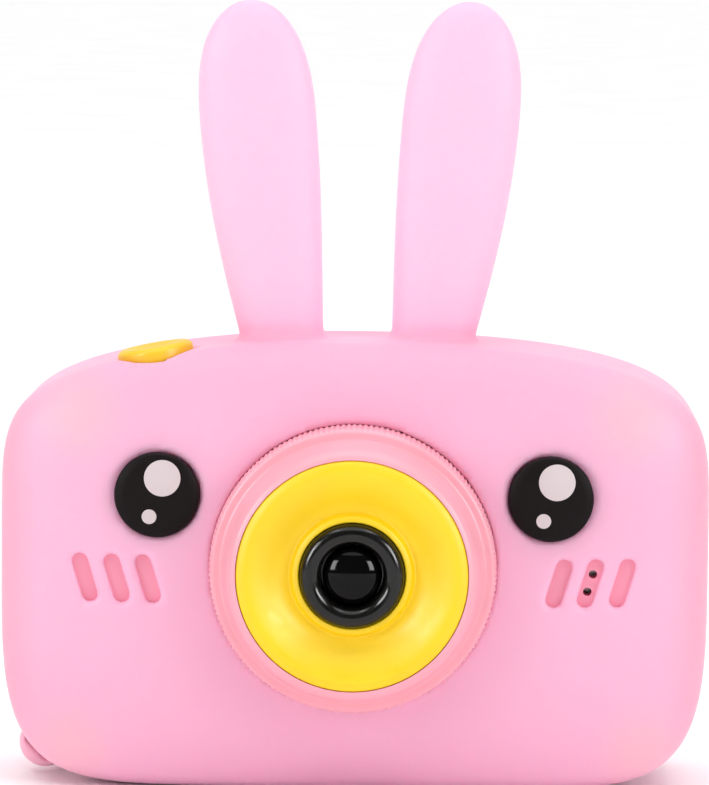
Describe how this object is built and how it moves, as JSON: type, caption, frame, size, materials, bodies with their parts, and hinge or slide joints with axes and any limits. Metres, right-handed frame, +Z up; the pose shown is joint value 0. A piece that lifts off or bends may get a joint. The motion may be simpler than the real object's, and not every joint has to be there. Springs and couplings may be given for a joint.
{
  "type": "kids digital camera",
  "caption": "Small rounded toy camera in a soft sleeve with long rabbit ears, a round lens face, a top shutter button and a rear screen with a button pad.",
  "frame": {"origin": "centre of the flat underside, at the middle of the body's depth", "axes": "+Z up along the ears; the lens looks along -Y and the screen faces +Y; +X is to the right when facing the lens"},
  "size_m": [0.0936, 0.0411, 0.1037],
  "materials": {
    "sleeve_silicone": "translucent matt silicone",
    "pink_plastic": "satin",
    "yellow_plastic": "satin gloss",
    "black_gloss": "high gloss",
    "lens_glass": "polished",
    "eye_black": "matt, with printed pale dots",
    "screen_glass": "polished",
    "display_grey": "matt",
    "board_green": "solder mask",
    "chip_black": "matt",
    "steel": "plated",
    "battery_foil": "foil",
    "foam_grey": "foam",
    "switch_white": "matt",
    "wire_red": "soft PVC",
    "wire_black": "soft PVC",
    "ribbon_amber": "film"
  },
  "bodies": {
    "camera_body": {"battery": "battery_foil", "battery_lead_black": "wire_black", "battery_lead_red": "wire_red", "battery_pad": "foam_grey", "board_screw_1": "steel", "board_screw_2": "steel", "camera_lens_holder": "chip_black", "camera_ribbon": "ribbon_amber", "camera_sensor_board": "board_green", "card_socket": "steel", "case_screw_1": "steel", "case_screw_2": "steel", "case_screw_3": "steel", "case_screw_4": "steel", "display_ribbon": "ribbon_amber", "down_switch": "switch_white", "front_shell": "pink_plastic", "lanyard_eyelet": "pink_plastic", "lcd_module": "display_grey", "left_eye": "eye_black", "left_switch": "switch_white", "lens_barrel": "black_gloss", "lens_funnel": "yellow_plastic", "lens_glass": "lens_glass", "lens_ring": "pink_plastic", "main_board": "board_green", "memory_chip": "chip_black", "microphone": "steel", "mode_switch": "switch_white", "ok_switch": "switch_white", "port_cover_anchor": "pink_plastic", "power_switch": "switch_white", "processor_chip": "chip_black", "rear_shell": "pink_plastic", "right_eye": "eye_black", "right_switch": "switch_white", "screen_window": "screen_glass", "selfie_module": "chip_black", "selfie_window": "lens_glass", "shutter_board": "board_green", "shutter_switch": "switch_white", "silicone_sleeve": "sleeve_silicone", "speaker": "chip_black", "speaker_gasket": "foam_grey", "up_switch": "switch_white", "usb_connector": "steel"},
    "shutter_button": {"shutter_button": "yellow_plastic"},
    "up_button": {"up_button": "yellow_plastic"},
    "down_button": {"down_button": "yellow_plastic"},
    "left_button": {"left_button": "yellow_plastic"},
    "right_button": {"right_button": "yellow_plastic"},
    "ok_button": {"ok_button": "yellow_plastic"},
    "power_button": {"power_button": "pink_plastic"},
    "mode_button": {"mode_button": "pink_plastic"},
    "memory_card": {"memory_card": "chip_black"},
    "port_cover": {"port_cover": "pink_plastic"}
  },
  "joints": [
    {"name": "shutter_press", "type": "slide", "parent": "camera_body", "child": "shutter_button", "axis": [0.1822, 0, -0.9833], "range_m": [0, 0.0009], "stiffness_N_per_m": 400},
    {"name": "up_press", "type": "slide", "parent": "camera_body", "child": "up_button", "axis": [0, -1, 0], "range_m": [0, 0.0005], "stiffness_N_per_m": 400},
    {"name": "down_press", "type": "slide", "parent": "camera_body", "child": "down_button", "axis": [0, -1, 0], "range_m": [0, 0.0005], "stiffness_N_per_m": 400},
    {"name": "left_press", "type": "slide", "parent": "camera_body", "child": "left_button", "axis": [0, -1, 0], "range_m": [0, 0.0005], "stiffness_N_per_m": 400},
    {"name": "right_press", "type": "slide", "parent": "camera_body", "child": "right_button", "axis": [0, -1, 0], "range_m": [0, 0.0005], "stiffness_N_per_m": 400},
    {"name": "ok_press", "type": "slide", "parent": "camera_body", "child": "ok_button", "axis": [0, -1, 0], "range_m": [0, 0.0005], "stiffness_N_per_m": 400},
    {"name": "power_press", "type": "slide", "parent": "camera_body", "child": "power_button", "axis": [0, -1, 0], "range_m": [0, 0.0005], "stiffness_N_per_m": 400},
    {"name": "mode_press", "type": "slide", "parent": "camera_body", "child": "mode_button", "axis": [0, -1, 0], "range_m": [0, 0.0005], "stiffness_N_per_m": 400},
    {"name": "card_slide", "type": "slide", "parent": "camera_body", "child": "memory_card", "axis": [1, 0, 0], "range_m": [0, 0.016]},
    {"name": "cover_hinge", "type": "hinge", "parent": "camera_body", "child": "port_cover", "pos_m": [0.046, 0.0028, 0.0412], "axis": [0, -1, 0], "range_deg": [0, 100]}
  ]
}
